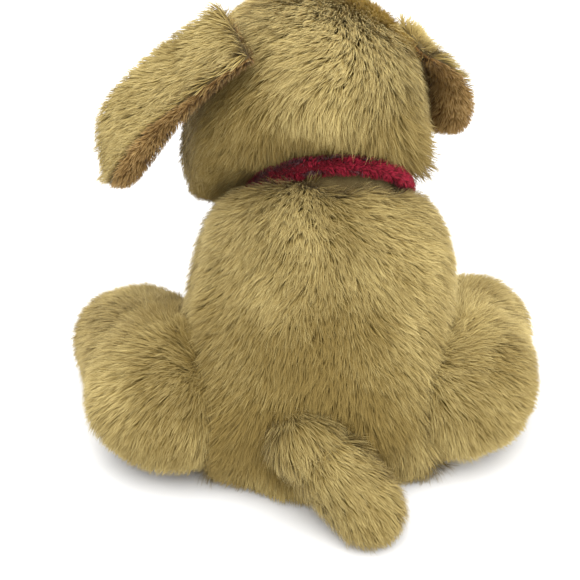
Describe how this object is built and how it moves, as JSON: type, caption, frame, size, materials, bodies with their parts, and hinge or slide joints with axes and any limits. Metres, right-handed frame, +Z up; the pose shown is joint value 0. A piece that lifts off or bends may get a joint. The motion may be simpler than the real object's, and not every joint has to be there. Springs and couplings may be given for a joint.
{
  "type": "plush dog",
  "caption": "Seated long-pile plush puppy with floppy tan-lined ears, a red plush collar, splayed hind legs and a tail; stuffed limbs flex at their seams.",
  "frame": {"origin": "middle of the flat patch that the dog sits on, at floor level", "axes": "+Z up, the dog faces -Y, +X is towards its own left side"},
  "size_m": [0.324, 0.2977, 0.272],
  "materials": {
    "wheat_plush": "matte",
    "wheat_plush_shaded": "matte",
    "tan_short_pile": "matte",
    "red_plush": "matte",
    "fibre_filling": "matte",
    "plastic_pellets": "satin",
    "bag_cloth": "matte",
    "white_nylon": "satin",
    "black_gloss": "gloss",
    "black_thread": "matte"
  },
  "bodies": {
    "body": {"body_panel_left": "wheat_plush", "body_panel_right": "wheat_plush", "belly_panel": "wheat_plush_shaded", "body_stuffing": "fibre_filling", "pellet_bag": "bag_cloth", "seat_pellets": "plastic_pellets"},
    "neck": {"neck_sleeve": "wheat_plush_shaded"},
    "neck_core": {"neck_stuffing": "fibre_filling"},
    "collar": {"collar": "red_plush"},
    "head": {"head_panel_left": "wheat_plush", "head_panel_right": "wheat_plush", "head_stuffing": "fibre_filling", "muzzle_cover": "wheat_plush", "muzzle_stuffing": "fibre_filling", "nose": "black_gloss", "nose_washer": "white_nylon", "eye_left": "black_gloss", "eye_right": "black_gloss", "eye_washer_left": "white_nylon", "eye_washer_right": "white_nylon", "mouth_thread": "black_thread"},
    "ear_left": {"ear_left_outer": "wheat_plush", "ear_left_lining": "tan_short_pile"},
    "ear_right": {"ear_right_outer": "wheat_plush", "ear_right_lining": "tan_short_pile"},
    "front_leg_left": {"front_leg_left_cover": "wheat_plush", "front_leg_left_stuffing": "fibre_filling", "front_paw_left_pad": "tan_short_pile"},
    "front_leg_right": {"front_leg_right_cover": "wheat_plush", "front_leg_right_stuffing": "fibre_filling", "front_paw_right_pad": "tan_short_pile"},
    "hind_leg_left": {"hind_leg_left_cover": "wheat_plush", "hind_leg_left_stuffing": "fibre_filling", "hind_foot_left_sole": "tan_short_pile"},
    "hind_leg_right": {"hind_leg_right_cover": "wheat_plush", "hind_leg_right_stuffing": "fibre_filling", "hind_foot_right_sole": "tan_short_pile"},
    "tail_root": {"tail_root": "wheat_plush_shaded"},
    "tail": {"tail_cover": "wheat_plush", "tail_stuffing": "fibre_filling"}
  },
  "joints": [
    {"name": "neck_turn", "type": "hinge", "parent": "body", "child": "neck", "pos_m": [-0.015, -0.041, 0.152], "axis": [0, -0.7071, 0.7071], "range_deg": [-30, 30], "stiffness_Nm_per_rad": 2},
    {"name": "head_nod", "type": "hinge", "parent": "neck", "child": "neck_core", "pos_m": [-0.015, -0.041, 0.152], "axis": [1, 0, 0], "range_deg": [-10, 10], "stiffness_Nm_per_rad": 3},
    {"name": "head_tilt", "type": "hinge", "parent": "neck_core", "child": "head", "pos_m": [-0.015, -0.041, 0.152], "axis": [0, 0.7071, 0.7071], "range_deg": [-8, 8], "stiffness_Nm_per_rad": 3},
    {"name": "collar_turn", "type": "hinge", "parent": "body", "child": "collar", "pos_m": [-0.015, -0.041, 0.152], "axis": [0, -0.7071, 0.7071], "continuous": true},
    {"name": "ear_left_flap", "type": "hinge", "parent": "head", "child": "ear_left", "pos_m": [0.0418, -0.02342, 0.25909], "axis": [-0.3378, 0.8604, -0.3815], "range_deg": [-35, 12], "stiffness_Nm_per_rad": 0.25},
    {"name": "ear_right_flap", "type": "hinge", "parent": "head", "child": "ear_right", "pos_m": [-0.06929, -0.06575, 0.24143], "axis": [0.3507, -0.8798, 0.321], "range_deg": [-25, 15], "stiffness_Nm_per_rad": 0.25},
    {"name": "front_leg_left_swing", "type": "hinge", "parent": "body", "child": "front_leg_left", "pos_m": [0.046, -0.071, 0.087], "axis": [-1, 0, 0], "range_deg": [0, 40], "stiffness_Nm_per_rad": 0.15},
    {"name": "front_leg_right_swing", "type": "hinge", "parent": "body", "child": "front_leg_right", "pos_m": [-0.046, -0.071, 0.087], "axis": [-1, 0, 0], "range_deg": [0, 40], "stiffness_Nm_per_rad": 0.15},
    {"name": "hind_leg_left_lift", "type": "hinge", "parent": "body", "child": "hind_leg_left", "pos_m": [0.09, 0.026, 0.0416], "axis": [-0.9167, -0.3996, 0], "range_deg": [0, 20], "stiffness_Nm_per_rad": 0.8},
    {"name": "hind_leg_right_lift", "type": "hinge", "parent": "body", "child": "hind_leg_right", "pos_m": [-0.09, 0.026, 0.0416], "axis": [-0.9167, 0.3996, 0], "range_deg": [0, 20], "stiffness_Nm_per_rad": 0.8},
    {"name": "tail_wag", "type": "hinge", "parent": "body", "child": "tail_root", "pos_m": [0.009, 0.083, 0.046], "axis": [0, 0, 1], "range_deg": [-70, 0], "stiffness_Nm_per_rad": 0.1},
    {"name": "tail_lift", "type": "hinge", "parent": "tail_root", "child": "tail", "pos_m": [0.009, 0.083, 0.046], "axis": [0.686, 0.7276, 0], "range_deg": [0, 45], "stiffness_Nm_per_rad": 0.1}
  ]
}
